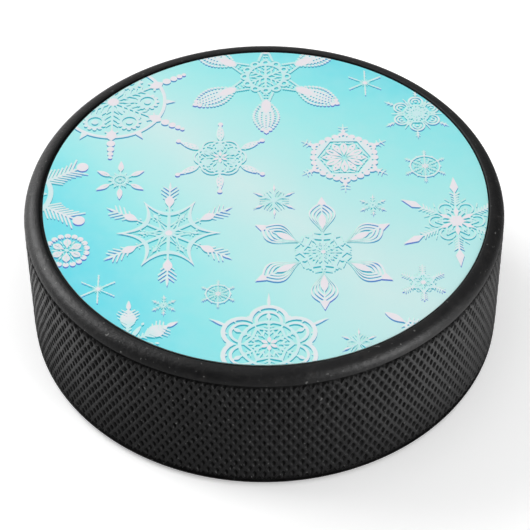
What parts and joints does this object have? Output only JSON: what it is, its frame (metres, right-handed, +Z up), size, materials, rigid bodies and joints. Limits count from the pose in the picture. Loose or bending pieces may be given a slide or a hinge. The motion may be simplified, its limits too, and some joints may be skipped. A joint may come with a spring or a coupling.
{
  "type": "hockey puck",
  "caption": "Ice hockey puck: a squat vulcanised rubber disc with rolled rims, a diamond-knurled side and a printed winter decal laid into its top face.",
  "frame": {"origin": "centre of the underside, on the plane the puck rests on", "axes": "+Z up along the puck's axis, out of the printed face; -Y is the side towards which the foot of the print points, +X to the right of the print"},
  "size_m": [0.0762, 0.0762, 0.0254],
  "materials": {
    "vulcanised_rubber": "moulded black rubber, satin rims and a knurled band, fine grain",
    "adhesive": "thin acrylic pressure-sensitive adhesive",
    "white_film": "white vinyl label film, satin edge",
    "printed_ink": "cured aqua and white ink with raised snowflake motifs, satin"
  },
  "bodies": {
    "root": {"puck_body": "vulcanised_rubber", "decal_adhesive": "adhesive", "decal_film": "white_film", "decal_print": "printed_ink"}
  },
  "joints": []
}
